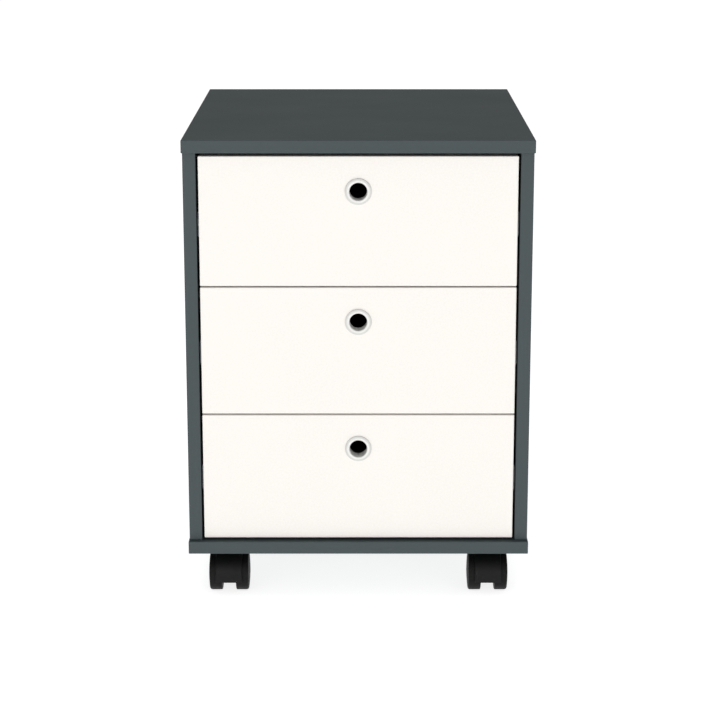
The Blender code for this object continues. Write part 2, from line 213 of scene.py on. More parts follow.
# Heads, in shares of their radius or height. A recess has a depth, an arm and half an arm's width
PAN_DOME = 1.08
PAN_DOME_ANGLE = math.radians(52)
PAN_FOOT = 0.94
PAN_SHOULDER = 0.2
PAN_RECESS = (0.65, 0.55, 0.12)
FLAT_EDGE = 0.25
FLAT_RECESS = (0.6, 0.6, 0.14)


def tone(red, green, blue):
    """A colour given out of 255, on Blender's linear scale."""
    shares = [value / 255 for value in (red, green, blue)]
    return (*[s / 12.92 if s <= 0.04045 else ((s + 0.055) / 1.055) ** 2.4 for s in shares], 1.0)


class Finish:
    """A material whose colour, roughness and relief come from nodes in object space."""

    def __init__(self, name, constants):
        self.material = bpy.data.materials.new(name)
        self.material.use_nodes = True
        self.tree = self.material.node_tree
        self.surface = self.tree.nodes["Principled BSDF"]
        for socket, value in constants.items():
            self.surface.inputs[socket].default_value = value
        own = self.add("ShaderNodeTexCoord").outputs
        self.point = own["Object"]
        self.outward = own["Normal"]

    def add(self, kind, inputs=None, **settings):
        """A node with its settings. An input that is another node's output gets a link."""
        made = self.tree.nodes.new(kind)
        for setting, value in settings.items():
            setattr(made, setting, value)
        for socket, value in (inputs or {}).items():
            if isinstance(value, bpy.types.NodeSocket):
                self.tree.links.new(value, made.inputs[socket])
            else:
                made.inputs[socket].default_value = value
        return made

    def math(self, operation, first, second=0.0):
        return self.add("ShaderNodeMath", {0: first, 1: second}, operation=operation).outputs[0]

    def axes(self, vector):
        return self.add("ShaderNodeSeparateXYZ", {0: vector}).outputs

    def noise(self, scale, detail=2.0):
        """Noise with so many features to the metre, in all directions or along each axis."""
        inputs = {"Vector": self.point, "Scale": scale, "Detail": detail}
        if isinstance(scale, tuple):
            mapping = self.add("ShaderNodeMapping", {"Vector": self.point, "Scale": scale})
            inputs.update({"Vector": mapping.outputs[0], "Scale": 1.0})
        return self.add("ShaderNodeTexNoise", inputs).outputs["Fac"]

    def spread(self, value, low=0.0, high=1.0, start=0.3, end=0.7):
        """The value's run from start to end, mapped to low to high."""
        inputs = {"Value": value, "From Min": start, "From Max": end, "To Min": low, "To Max": high}
        return self.add("ShaderNodeMapRange", inputs).outputs[0]

    def mixed(self, share, first, second):
        inputs = {0: share, 6: first, 7: second}
        return self.add("ShaderNodeMix", inputs, data_type="RGBA").outputs[2]

    def relief(self, height, depth, below=None):
        inputs = {"Height": height, "Distance": depth}
        if below:
            inputs["Normal"] = below
        return self.add("ShaderNodeBump", inputs).outputs[0]

    def edge_distance(self, box, across):
        """How far a point of a board lies from the board's nearest edge, in the board's plane."""
        parts = self.axes(self.point)
        gaps = []
        for axis in across:
            gaps.append(self.math("SUBTRACT", parts[axis], box[0][axis]))
            gaps.append(self.math("SUBTRACT", box[1][axis], parts[axis]))
        nearest = gaps[0]
        for gap in gaps[1:]:
            nearest = self.math("MINIMUM", nearest, gap)
        return nearest

    def done(self, colour, roughness, normal):
        self.tree.links.new(colour, self.surface.inputs["Base Color"])
        self.tree.links.new(roughness, self.surface.inputs["Roughness"])
        self.tree.links.new(normal, self.surface.inputs["Normal"])
        return self.material


def board_finish(node, across, face, edging, sheen, grain):
    """Melamine with a fine pearl grain, and glued edging that shows as a thin joint line."""
    finish = Finish(node, {"Specular IOR Level": 0.2})
    distance = finish.edge_distance(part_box(node), across)
    banded = finish.spread(distance, 1.0, 0.0, EDGING - EDGING_LINE / 4, EDGING + EDGING_LINE / 4)
    off_line = finish.math("ABSOLUTE", finish.math("SUBTRACT", distance, EDGING))
    line = finish.spread(off_line, 1.0, 0.0, 0.0, EDGING_LINE)
    cloud = finish.noise(BOARD_CLOUDS, 3.0)
    speck = finish.noise(BOARD_SPECKS)
    darker, lighter = face
    board = finish.mixed(finish.spread(speck), darker, lighter)
    clouded = finish.mixed(finish.spread(cloud, 0.0, CLOUD_SHARE), board, lighter)
    dressed = finish.mixed(banded, clouded, edging)
    colour = finish.mixed(finish.math("MULTIPLY", line, LINE_SHARE), dressed, darker)
    roughness = finish.spread(finish.noise(BOARD_SMUDGES, 4.0), *sheen)
    pearl = finish.relief(finish.noise(BOARD_PEARL), grain)
    normal = finish.relief(finish.math("MULTIPLY", line, -1.0), EDGING_LINE / 4, pearl)
    return finish.done(colour, roughness, normal)


def foil_finish(name, light, dark, raw=None):
    """Paper foil printed with a linen weave. A raw underside shows brown fibres."""
    finish = Finish(name, {"Specular IOR Level": 0.25})
    x, y, z = finish.axes(finish.point)
    threads = []
    for run in (finish.math("ADD", x, z), finish.math("ADD", y, z)):
        wobble = finish.math("MULTIPLY", finish.noise(THREAD_BENDS), THREAD_WOBBLE)
        phase = finish.math("MULTIPLY", finish.math("ADD", run, wobble), math.tau / THREAD_PITCH)
        threads.append(finish.math("SINE", phase))
    weave = finish.spread(finish.math("MULTIPLY", *threads), start=-1.0, end=1.0)
    slub = finish.noise(THREAD_SLUBS, 3.0)
    share = finish.math("MULTIPLY", weave, finish.spread(slub, 0.4, 1.0))
    colour = finish.mixed(share, light, dark)
    if raw:
        under = finish.spread(finish.axes(finish.outward)[2], 1.0, 0.0, -0.6, -0.4)
        fibre = finish.noise(FELT_FIBRES, 6.0)
        felt = finish.mixed(finish.spread(fibre), *raw)
        colour = finish.mixed(under, colour, felt)
    roughness = finish.spread(finish.noise(FOIL_SMUDGES, 3.0), 0.50, 0.62)
    return finish.done(colour, roughness, finish.relief(weave, WEAVE_DEPTH))


def steel_finish(name, bright, dull, sheen):
    """Zinc plated sheet: streaks along the rolling direction and a cloudy passivated film."""
    finish = Finish(name, {"Metallic": 1.0})
    streak = finish.noise(STEEL_STREAKS, 4.0)
    film = finish.noise(STEEL_FILM, 3.0)
    share = finish.math("MULTIPLY", finish.spread(streak, 0.2, 1.0), finish.spread(film, 0.4, 1.0))
    colour = finish.mixed(share, bright, dull)
    roughness = finish.spread(film, *sheen)
    return finish.done(colour, roughness, finish.relief(streak, STREAK_DEPTH))


def hood_finish(name, deep, pale):
    """Black nylon with a spark-eroded skin and faint flow clouds."""
    finish = Finish(name, {"Specular IOR Level": 0.2})
    skin = finish.noise(HOOD_SKIN)
    flow = finish.noise(PLASTIC_FLOW, 4.0)
    colour = finish.mixed(finish.spread(flow), deep, pale)
    roughness = finish.spread(skin, 0.40, 0.52)
    return finish.done(colour, roughness, finish.relief(skin, NYLON_DEPTH))


def ring_finish(name, centre, rim, bore):
    """White satin plastic, with painted shade: grey in the thin outer lip and in the bore."""
    finish = Finish(name, {"Specular IOR Level": 0.35})
    flatten = {0: finish.point, 1: (1, 0, 1), 2: (-centre.x, 0, -centre.z)}
    from_axis = finish.add("ShaderNodeVectorMath", flatten, operation="MULTIPLY_ADD").outputs[0]
    radius = finish.add("ShaderNodeVectorMath", {0: from_axis}, operation="LENGTH").outputs["Value"]
    flow = finish.noise(PLASTIC_FLOW, 4.0)
    skin = finish.noise(RING_SKIN)
    white = finish.mixed(finish.spread(flow), tone(233, 233, 230), tone(240, 240, 237))
    # painted shade: a grey band round the outer lip of the flange, standing in for the shadow round
    # it
    lip = finish.spread(radius, 0.0, 1.0, rim - RIM_SHADE_START, rim - RIM_SHADE_END)
    rim_shaded = finish.mixed(lip, white, tone(211, 211, 208))
    # painted shade: the bore's wall is greyed as shade inside the hole
    painted_bore_shade = finish.spread(radius, 1.0, 0.0, bore + BORE_SHADE_START, bore + BORE_SHADE_END)
    colour = finish.mixed(painted_bore_shade, rim_shaded, tone(222, 222, 219))
    roughness = finish.spread(skin, 0.28, 0.40)
    return finish.done(colour, roughness, finish.relief(skin, RING_DEPTH))


def wheel_finish(name, deep, pale, dust):
    """Black nylon that has picked up dust where the tread meets the floor."""
    finish = Finish(name, {"Specular IOR Level": 0.16})
    skin = finish.noise(WHEEL_SKIN)
    flow = finish.noise(WHEEL_FLOW, 4.0)
    clean = finish.mixed(finish.spread(flow), deep, pale)
    sideways = finish.math("ABSOLUTE", finish.axes(finish.outward)[0])
    rolling = finish.spread(sideways, 1.0, 0.0, 0.05, 0.35)
    patch = finish.spread(finish.noise(DUST_PATCHES, 4.0), 0.0, 0.5, 0.4, 0.75)
    colour = finish.mixed(finish.math("MULTIPLY", rolling, patch), clean, dust)
    roughness = finish.spread(patch, 0.50, 0.66, 0.0, 0.5)
    return finish.done(colour, roughness, finish.relief(skin, NYLON_DEPTH))


def smoothing_group():
    """Nodes of a modifier that joins the facets' corners and shades them smooth up to sharp edges."""
    group = bpy.data.node_groups.new("smooth_facets", "GeometryNodeTree")
    group.interface.new_socket("Geometry", in_out="INPUT", socket_type="NodeSocketGeometry")
    group.interface.new_socket("Geometry", in_out="OUTPUT", socket_type="NodeSocketGeometry")
    entry = group.nodes.new("NodeGroupInput")
    weld = group.nodes.new("GeometryNodeMergeByDistance")
    weld.inputs["Distance"].default_value = CAD_WELD
    plain = group.nodes.new("GeometryNodeRemoveAttribute")
    plain.inputs["Name"].default_value = "custom_normal"
    angle = group.nodes.new("GeometryNodeInputMeshEdgeAngle")
    soft = group.nodes.new("FunctionNodeCompare")
    soft.operation = "LESS_THAN"
    soft.inputs[1].default_value = SOFT_ANGLE
    edges = group.nodes.new("GeometryNodeSetShadeSmooth")
    edges.domain = "EDGE"
    faces = group.nodes.new("GeometryNodeSetShadeSmooth")
    end = group.nodes.new("NodeGroupOutput")
    group.links.new(entry.outputs[0], weld.inputs["Geometry"])
    group.links.new(weld.outputs[0], plain.inputs["Geometry"])
    group.links.new(plain.outputs[0], faces.inputs["Geometry"])
    group.links.new(faces.outputs[0], edges.inputs["Geometry"])
    group.links.new(angle.outputs["Unsigned Angle"], soft.inputs[0])
    group.links.new(soft.outputs[0], edges.inputs["Shade Smooth"])
    group.links.new(edges.outputs[0], end.inputs[0])
    return group


def keep_flat(item):
    """Shading in which large flat faces stay flat beside rounded edges."""
    flat = item.modifiers.new("flat_faces", "WEIGHTED_NORMAL")
    flat.keep_sharp = True


def dress(node, material):
    """A CAD node's finish, and its facets shaded as the smooth surface that they stand for."""
    slots = nodes[node].data.materials
    slots.clear()
    slots.append(material)
    smooth = nodes[node].modifiers.new("smooth_facets", "NODES")
    smooth.node_group = smoother
    keep_flat(nodes[node])


def shaded(mesh):
    """The mesh, shaded smooth up to its sharp edges."""
    mesh.shade_smooth()
    mesh.set_sharp_from_angle(angle=SHARP_ANGLE)
    return mesh


def meshed(work):
    """A shaded mesh from the working mesh, with its faces turned out."""
    bmesh.ops.recalc_face_normals(work, faces=work.faces)
    mesh = bpy.data.meshes.new("shape")
    work.to_mesh(mesh)
    work.free()
    return shaded(mesh)


def turned(profile, steps=ROUND_STEPS, ring=False):
    """A solid turned about X from points (along, radius). A ring's profile is a loop."""
    work = bmesh.new()
    points = [work.verts.new((along, 0, radius)) for along, radius in profile]
    followers = points[1:] + points[:1] if ring else points[1:]
    edges = [work.edges.new(pair) for pair in zip(points, followers)]
    turn = {"axis": (1, 0, 0), "angle": math.tau, "steps": steps, "use_merge": True}
    bmesh.ops.spin(work, geom=points + edges, **turn)
    bmesh.ops.remove_doubles(work, verts=work.verts, dist=TURN_WELD)
    return meshed(work)


def prism(outline, push, edge=0.0):
    """A closed outline pushed along a vector. Its two rims are rounded where an edge is given."""
    work = bmesh.new()
    face = work.faces.new([work.verts.new(point) for point in outline])
    pushed = bmesh.ops.extrude_face_region(work, geom=[face])
    moved = [item for item in pushed["geom"] if isinstance(item, bmesh.types.BMVert)]
    bmesh.ops.translate(work, vec=push, verts=moved)
    if edge:
        caps = [f for f in work.faces if len(f.verts) == len(outline)]
        rims = list({e for cap in caps for e in cap.edges})
        rounding = {"segments": EDGE_STEPS, "profile": EDGE_PROFILE, "affect": "EDGES"}
        bmesh.ops.bevel(work, geom=rims, offset=edge, **rounding)
    return meshed(work)


def arc(centre, radius, start, end, steps):
    """Points in a plane along an arc, both ends included."""
    angles = [start + (end - start) * step / steps for step in range(steps + 1)]
    return [(centre[0] + radius * math.cos(a), centre[1] + radius * math.sin(a)) for a in angles]


def circle(centre, radius, steps=HOLE_STEPS):
    """Points in a plane round a whole circle."""
    return arc(centre, radius, 0, math.tau, steps)[:-1]


def combined(mesh, operation, *tools):
    """The mesh cut by, or joined with, each tool in turn."""
    for tool in tools:
        target = bpy.data.objects.new("target", mesh)
        other = bpy.data.objects.new("tool", tool)
        for item in (target, other):
            bpy.context.scene.collection.objects.link(item)
        step = target.modifiers.new("step", "BOOLEAN")
        step.operation = operation
        step.object = other
        graph = bpy.context.evaluated_depsgraph_get()
        mesh = bpy.data.meshes.new_from_object(target.evaluated_get(graph))
        bpy.data.objects.remove(target)
        bpy.data.objects.remove(other)
    return mesh


def placed(mesh, places):
    """One mesh with a copy of a shape at each place, which is a matrix."""
    work = bmesh.new()
    for place in places:
        copy = mesh.copy()
        copy.transform(place)
        work.from_mesh(copy)
        bpy.data.meshes.remove(copy)
    return meshed(work)


def piece(name, mesh, material, body, slot, *stands_for):
    """A new piece that moves with a body and may stand for CAD nodes."""
    made = bpy.data.objects.new(name, mesh)
    bpy.context.scene.collection.objects.link(made)
    mesh.name = name
    mesh.materials.clear()
    mesh.materials.append(material)
    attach(made, body)
    if stands_for:
        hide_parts(*stands_for)
    return made


def dress_carcass():
    """Graphite boards, and a back of graphite foil."""
    graphite = {
        "face": (tone(62, 72, 73), tone(69, 79, 80)),
        "edging": tone(71, 80, 82),
        "sheen": (0.48, 0.56),
        "grain": CARCASS_GRAIN,
    }
    for node in ("top_panel", "bottom_panel"):
        dress(node, board_finish(node, (0, 1), **graphite))
    for side, _ in SIDES:
        node = f"{side}_side_panel"
        dress(node, board_finish(node, (1, 2), **graphite))
    dress("back_panel", foil_finish("graphite_foil", tone(66, 73, 74), tone(58, 64, 65)))


def dress_drawers():
    """Cream fronts, and boxes in pale linen foil whose bottoms are raw underneath."""
    cream = {
        "face": (tone(242, 238, 233), tone(247, 243, 238)),
        "edging": tone(245, 241, 236),
        "sheen": (0.38, 0.46),
        "grain": FRONT_GRAIN,
    }
    box = foil_finish("linen_foil", tone(214, 214, 210), tone(196, 196, 191))
    fibre = (tone(112, 84, 58), tone(146, 114, 82))
    tray = foil_finish("tray_foil", tone(208, 208, 203), tone(190, 190, 185), fibre)
    for drawer in DRAWERS:
        front = f"{drawer}_front"
        dress(front, board_finish(front, (0, 2), **cream))
        for wall in ("left_side", "right_side", "back"):
            dress(f"{drawer}_{wall}", box)
        dress(f"{drawer}_bottom", tray)


def bent_sheet(half, sheet, length):
    """A strip along Y, bent to a section (across, up) that is given by its upper half."""
    points = [Vector(point) for point in half + [(across, -up) for across, up in reversed(half)]]
    square = []
    for before, after in zip(points, points[1:]):
        run = (after - before).normalized()
        square.append(Vector((-run.y, run.x)))
    sides = []
    for first, second in zip(square[:1] + square, square + square[-1:]):
        sides.append((first + second) / (1 + first.dot(second)) * sheet / 2)
    left = [point + side for point, side in zip(points, sides)]
    right = [point - side for point, side in zip(points, sides)]
    return prism([(p.x, 0, p.y) for p in left + right[::-1]], (0, length, 0))


def oblong(diameter, run=0.0, upright=False):
    """A cutter along X with round ends, drawn out along Y or, upright, along Z."""
    outline = []
    for step in range(HOLE_STEPS):
        angle = math.tau * (step + 0.5) / HOLE_STEPS
        along = diameter / 2 * math.cos(angle)
        along += math.copysign(run, along)
        across = diameter / 2 * math.sin(angle)
        outline.append((-CUT_REACH, across, along) if upright else (-CUT_REACH, along, across))
    return prism(outline, (2 * CUT_REACH, 0, 0))


def spaced(shape, places):
    """Copies of a shape at places along Y."""
    return placed(shape, [Matrix.Translation((0, along, 0)) for along in places])


def drilled_rail(half, length):
    """A rail with screw holes near its ends, one at its middle, and slots further in."""
    holes = []
    for inward, shape in (
        (0, oblong(RAIL_HOLE)),
        (RAIL_HOLE_PITCH, oblong(RAIL_HOLE, RAIL_SLOT_RUN)),
        (2 * RAIL_HOLE_PITCH, oblong(RAIL_HOLE, RAIL_SLOT_RUN, upright=True)),
    ):
        inset = RAIL_SCREW_INSET + inward
        holes.append(spaced(shape, (inset, length - inset)))
    holes.append(spaced(oblong(RAIL_HOLE), (length / 2,)))
    return combined(bent_sheet(half, RAIL_SHEET, length), "DIFFERENCE", *holes)


def cabinet_rail_shape(size):
    """The outer rail with its back at x = 0. Its flanges curve round the balls."""
    race = BALL / 2 + RUN_GAP + RAIL_SHEET / 2
    web = RAIL_SHEET / 2
    lip = size.x - RAIL_SHEET / 2
    up = size.z / 2 - RAIL_SHEET / 2 - race
    half = arc((lip - race, up), race, 0, math.pi / 2, BEND_STEPS)
    half += arc((web + race, up), race, math.pi / 2, math.pi, BEND_STEPS)
    return drilled_rail(half, size.y)


def drawer_rail_shape(size, ball):
    """The inner rail with its back at x = 0. Its flanges' ends curl up beside the balls."""
    race = BALL / 2 + RUN_GAP + RAIL_SHEET / 2
    web = RAIL_SHEET / 2
    flange = size.z / 2 - RAIL_SHEET / 2
    curl = math.asin((size.x - ball) / (race + RAIL_SHEET / 2))
    half = arc((ball, flange + race), race, curl - math.pi / 2, -math.pi / 2, BEND_STEPS)
    half += arc((web + RAIL_BEND, flange - RAIL_BEND), RAIL_BEND, math.pi / 2, math.pi, BEND_STEPS)
    return drilled_rail(half, size.y)


def cage_shapes(size):
    """A ball cage with its back at x = 0, and the balls that sit in its pockets."""
    web = CAGE_SHEET / 2
    row = (size.z - BALL) / 2
    half = [(size.x, row)]
    half += arc((web + CAGE_BEND, row - CAGE_BEND), CAGE_BEND, math.pi / 2, math.pi, BEND_STEPS)
    strip = bent_sheet(half, CAGE_SHEET, size.y)
    count = int((size.y - BALL) / BALL_PITCH) + 1
    first = (size.y - (count - 1) * BALL_PITCH) / 2
    places = [first + number * BALL_PITCH for number in range(count)]
    between = [along + BALL_PITCH / 2 for along in places[:-1]]
    ring = circle((BALL_SEAT, 0), BALL / 2 + BALL_PLAY)
    pocket = prism([(x, y, -size.z) for x, y in ring], (0, 0, 2 * size.z))
    cuts = (spaced(pocket, places), spaced(oblong(CAGE_WINDOW, CAGE_WINDOW_RUN), between))
    ball = turned(arc((0, 0), BALL / 2, math.pi, 0, BEND_STEPS), 2 * BEND_STEPS)
    seats = [Matrix.Translation((BALL_SEAT, along, up)) for along in places for up in (-row, row)]
    return combined(strip, "DIFFERENCE", *cuts), placed(ball, seats)


def slide_place(node, way):
    """The place of a slide's piece whose back lies on one side of its node and which faces a way."""
    low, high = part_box(node)
    back = low.x if way > 0 else high.x
    spot = (back, low.y, (low.z + high.z) / 2)
    return Matrix.Translation(spot) @ Matrix.Diagonal((way, 1, 1, 1))


def make_slides():
    """Rolled rails with race flanges, and cages with their balls. All the slides are alike."""
    rail_steel = steel_finish("zinc_rail", tone(178, 181, 184), tone(138, 141, 144), (0.30, 0.46))
    cage_steel = steel_finish("cage_steel", tone(176, 174, 168), tone(120, 119, 116), (0.30, 0.50))
    ball_steel = steel_finish("ball_steel", tone(214, 214, 212), tone(186, 186, 184), (0.08, 0.16))
    parts = ("cabinet_rail", "drawer_rail", "ball_cage")
    boxes = [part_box(f"{DRAWERS[0]}_right_{part}") for part in parts]
    outer, inner, middle = [high - low for low, high in boxes]
    outer_rail = cabinet_rail_shape(outer)
    inner_rail = drawer_rail_shape(inner, boxes[2][1].x - BALL_SEAT - boxes[1][0].x)
    cage, balls = cage_shapes(middle)
    for drawer in DRAWERS:
        for side, direction in SIDES:
            slide = f"{drawer}_{side}"
            for part, shape, body, way, steel, slot in (
                ("cabinet_rail", outer_rail, "carcass", -direction, rail_steel, "zinc_plated_steel"),
                ("drawer_rail", inner_rail, drawer, direction, rail_steel, "zinc_plated_steel"),
                ("ball_cage", cage, f"{drawer}_cages", -direction, cage_steel, "ball_cage_steel"),
            ):
                node = f"{slide}_{part}"
                rolled = placed(shape, [slide_place(node, way)])
                keep_flat(piece(f"{node}_rolled", rolled, steel, body, slot, node))
            seated = placed(balls, [slide_place(f"{slide}_ball_cage", -direction)])
            piece(f"{slide}_cage_balls", seated, ball_steel, f"{drawer}_cages", "ball_cage_steel")


def make_grip_rings():
    """The flanged rings in the finger holes, with fully rounded rims."""
    for drawer in DRAWERS:
        node = f"{drawer}_grip_ring"
        low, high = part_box(node)
        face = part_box(f"{drawer}_front")[0].y
        rim = (high.x - low.x) / 2
        bore = GRIP_HOLE / 2
        depth = high.y - low.y
        seat = face - low.y - SEAT_GAP
        rim_round = (GRIP_FILLET, rim - GRIP_FILLET)
        bore_round = (GRIP_FILLET, bore + GRIP_FILLET)
        outer = arc(rim_round, GRIP_FILLET, math.pi, math.pi / 2, FILLET_STEPS)
        inner = arc(bore_round, GRIP_FILLET, -math.pi / 2, -math.pi, FILLET_STEPS)
        sleeve = bore + GRIP_WALL
        profile = inner + outer + [(seat, rim), (seat, sleeve), (depth, sleeve), (depth, bore)]
        centre = Vector(((low.x + high.x) / 2, low.y, (low.z + high.z) / 2))
        turn = Matrix.Translation(centre) @ Matrix.Rotation(math.pi / 2, 4, "Z")
        ring = placed(turned(profile, ring=True), [turn])
        material = ring_finish(node, centre, rim, bore)
        piece(f"{drawer}_ring_moulding", ring, material, drawer, "white_plastic", node)


def wheel_profile(width, radius):
    """The wheel's section from its axle hole outwards: crowned tread, grooved rim, domed cover."""
    hole = AXLE_DIAMETER / 2 + RUN_GAP
    end = width - AXLE_CAP + RUN_GAP
    edge = radius - TREAD_ROUND
    cover = edge - RIM_WIDTH - RIM_GROOVE_WIDTH
    dimple = HUB_DIMPLE / 2
    inner_round = TREAD_ROUND / 2

    def domed(r):
        return (width - FACE_DOME * (r / edge) ** 2, r)

    shoulder = (inner_round, radius - inner_round)
    inner = arc(shoulder, inner_round, math.pi, math.pi / 2, SMALL_FILLET_STEPS)
    crown = arc((domed(edge)[0] - TREAD_ROUND, edge), TREAD_ROUND, math.pi / 2, 0, FILLET_STEPS)
    trough = (domed(cover)[0] + domed(edge - RIM_WIDTH)[0]) / 2 - RIM_GROOVE_DEPTH
    groove = [(trough, cover + RIM_GROOVE_WIDTH * share) for share in RIM_GROOVE_FLOOR]
    steps = range(DOME_STEPS, -1, -1)
    dome = [domed(dimple + (cover - dimple) * step / DOME_STEPS) for step in steps]
    well = width - HUB_DIMPLE_DEPTH
    return [
        (end, 0),
        (end, hole),
        (0, hole),
        *inner,
        *crown,
        domed(edge - RIM_WIDTH),
        *groove,
        *dome,
        (well, dimple * HUB_DIMPLE_FLOOR),
        (well, 0),
    ]


def make_wheels():
    """Wheels with a fine tread and cover, each about its own axle."""
    material = wheel_finish("wheel_nylon", tone(8, 8, 8), tone(12, 12, 12), tone(21, 20, 19))
    for caster in CASTERS:
        for side, direction in SIDES:
            node = f"{caster}_{side}_wheel"
            low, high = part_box(node)
            inner = low.x if direction > 0 else high.x
            centre = Vector((inner, (low.y + high.y) / 2, (low.z + high.z) / 2))
            turn = Matrix.Translation(centre) @ Matrix.Diagonal((direction, 1, 1, 1))
            shape = turned(wheel_profile(high.x - low.x, (high.z - low.z) / 2))
            wheel = placed(shape, [turn])
            piece(f"{node}_moulding", wheel, material, node, "black_wheel_plastic", node)


def hood_shape(caster):
    """The hood over the two wheels, with its web, axle stubs and a neck that the kingpin runs in."""
    kingpin = Vector(joints[f"{caster}_swivel"]["pos_m"])
    low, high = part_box(f"{caster}_hood")
    wheel_low, wheel_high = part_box(f"{caster}_left_wheel")
    axle = ((wheel_low.y + wheel_high.y) / 2, (wheel_low.z + wheel_high.z) / 2)
    room = (wheel_high.z - wheel_low.z) / 2 + HOOD_GAP
    radius = axle[0] - low.y
    over = arc(axle, radius, math.pi + HOOD_DROOP, -HOOD_DROOP, HOOD_STEPS)
    under = arc(axle, HOOD_HUB / 2, -math.pi / 4, -3 * math.pi / 4, HUB_STEPS)
    left = kingpin.x - HOOD_WIDTH / 2
    shell = prism([(left, y, z) for y, z in over + under], (HOOD_WIDTH, 0, 0), HOOD_EDGE)
    collar = circle(kingpin.xy, NECK_DIAMETER / 2, HOOD_STEPS)
    neck = prism([(x, y, high.z) for x, y in collar], (0, 0, -NECK_LENGTH))
    reach = kingpin.x - wheel_low.x - AXLE_CAP
    bar = circle(axle, AXLE_DIAMETER / 2)
    stubs = prism([(kingpin.x - reach, y, z) for y, z in bar], (2 * reach, 0, 0))
    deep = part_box(f"{caster}_plate")[0].z - 2 * RUN_GAP
    pin = circle(kingpin.xy, KINGPIN_DIAMETER / 2 + RUN_GAP)
    socket = prism([(x, y, high.z + RUN_GAP) for x, y in pin], (0, 0, deep - high.z - RUN_GAP))
    rooms = []
    for _, direction in SIDES:
        start = kingpin.x + direction * HOOD_WEB / 2
        outline = [(start, y, z) for y, z in circle(axle, room, ROUND_STEPS)]
        rooms.append(prism(outline, (direction * HOOD_WIDTH, 0, 0)))
    hollowed = combined(combined(shell, "UNION", neck), "DIFFERENCE", *rooms)
    return combined(combined(hollowed, "UNION", stubs), "DIFFERENCE", socket)


def make_hoods():
    """Hoods that swivel on the kingpins."""
    material = hood_finish("hood_nylon", tone(9, 9, 9), tone(13, 13, 13))
    for caster in CASTERS:
        node = f"{caster}_hood"
        mesh = shaded(hood_shape(caster))
        piece(f"{node}_moulding", mesh, material, f"{caster}_swivel", "black_hood_plastic", node)


def recessed(head, radius, height, shares):
    """A head turned about X with a cross recess in its end at x = height."""
    deep = height * shares[0]
    arm = radius * shares[1]
    thick = radius * shares[2]
    cross = []
    for quarter in range(4):
        turn = Matrix.Rotation(quarter * math.pi / 2, 4, "X")
        for across, up in ((thick, thick), (thick, arm), (-thick, arm)):
            cross.append(turn @ Vector((height - deep, across, up)))
    return combined(head, "DIFFERENCE", prism(cross, (2 * deep, 0, 0)))


def pan_head(diameter, height):
    """A round-headed screw, from the plane x = 0 up."""
    radius = diameter / 2
    dome = arc((height - radius, 0), radius * PAN_DOME, PAN_DOME_ANGLE, 0, DOME_STEPS)
    profile = [(0, 0), (0, radius * PAN_FOOT), (height * PAN_SHOULDER, radius), *dome]
    return recessed(turned(profile, HEAD_STEPS), radius, height, PAN_RECESS)


def flat_head(diameter, height):
    """The flat head of a sunk screw or cam, from the plane x = 0 up, with a broken edge."""
    radius = diameter / 2
    edge = height * FLAT_EDGE
    profile = [(0, 0), (0, radius), (height - edge, radius), (height, radius - edge), (height, 0)]
    return recessed(turned(profile, HEAD_STEPS), radius, height, FLAT_RECESS)


def facing(spot, direction):
    """The place of a head that lies at a spot and points in a direction."""
    return Matrix.Translation(spot) @ Vector(direction).to_track_quat("X", "Z").to_matrix().to_4x4()


def plate_shape(low, high):
    """A screw plate with rounded corners and a kingpin, in the space between two corners."""
    middle = (low + high) / 2
    half = (high.x - low.x) / 2
    reach = half - PLATE_CORNER
    spot = half - PLATE_SCREW_EDGE
    outline = []
    holes = []
    for quarter, (across, along) in enumerate(((1, 1), (-1, 1), (-1, -1), (1, -1))):
        start = quarter * math.pi / 2
        corner = (middle.x + across * reach, middle.y + along * reach)
        outline += arc(corner, PLATE_CORNER, start, start + math.pi / 2, BEND_STEPS)
        ring = circle((middle.x + across * spot, middle.y + along * spot), PLATE_HOLE / 2)
        holes.append(prism([(x, y, high.z + CUT_REACH) for x, y in ring], (0, 0, -2 * CUT_REACH)))
    plate = prism([(x, y, high.z) for x, y in outline], (0, 0, -PLATE_THICKNESS), PLATE_EDGE)
    root = high.z - PLATE_THICKNESS / 2
    pin = circle(middle.xy, KINGPIN_DIAMETER / 2)
    kingpin = prism([(x, y, root) for x, y in pin], (0, 0, low.z - root), PLATE_EDGE)
    return combined(combined(plate, "UNION", kingpin), "DIFFERENCE", *holes)


def make_plates(material):
    """Caster plates with their kingpins, and the four screws that hold each."""
    head = pan_head(*PLATE_SCREW)
    for caster in CASTERS:
        node = f"{caster}_plate"
        low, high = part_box(node)
        shape = placed(plate_shape(low, high), [Matrix.Identity(4)])
        keep_flat(piece(f"{node}_pressing", shape, material, "carcass", "caster_plate_steel", node))
        reach = (high.x - low.x) / 2 - PLATE_SCREW_EDGE
        seat = high.z - PLATE_THICKNESS - SEAT_GAP
        under = Vector(((low.x + high.x) / 2, (low.y + high.y) / 2, seat))
        places = []
        for across in (-reach, reach):
            for along in (-reach, reach):
                places.append(facing(under + Vector((across, along, 0)), (0, 0, -1)))
        piece(f"{node}_screws", placed(head, places), material, "carcass", "caster_plate_steel")


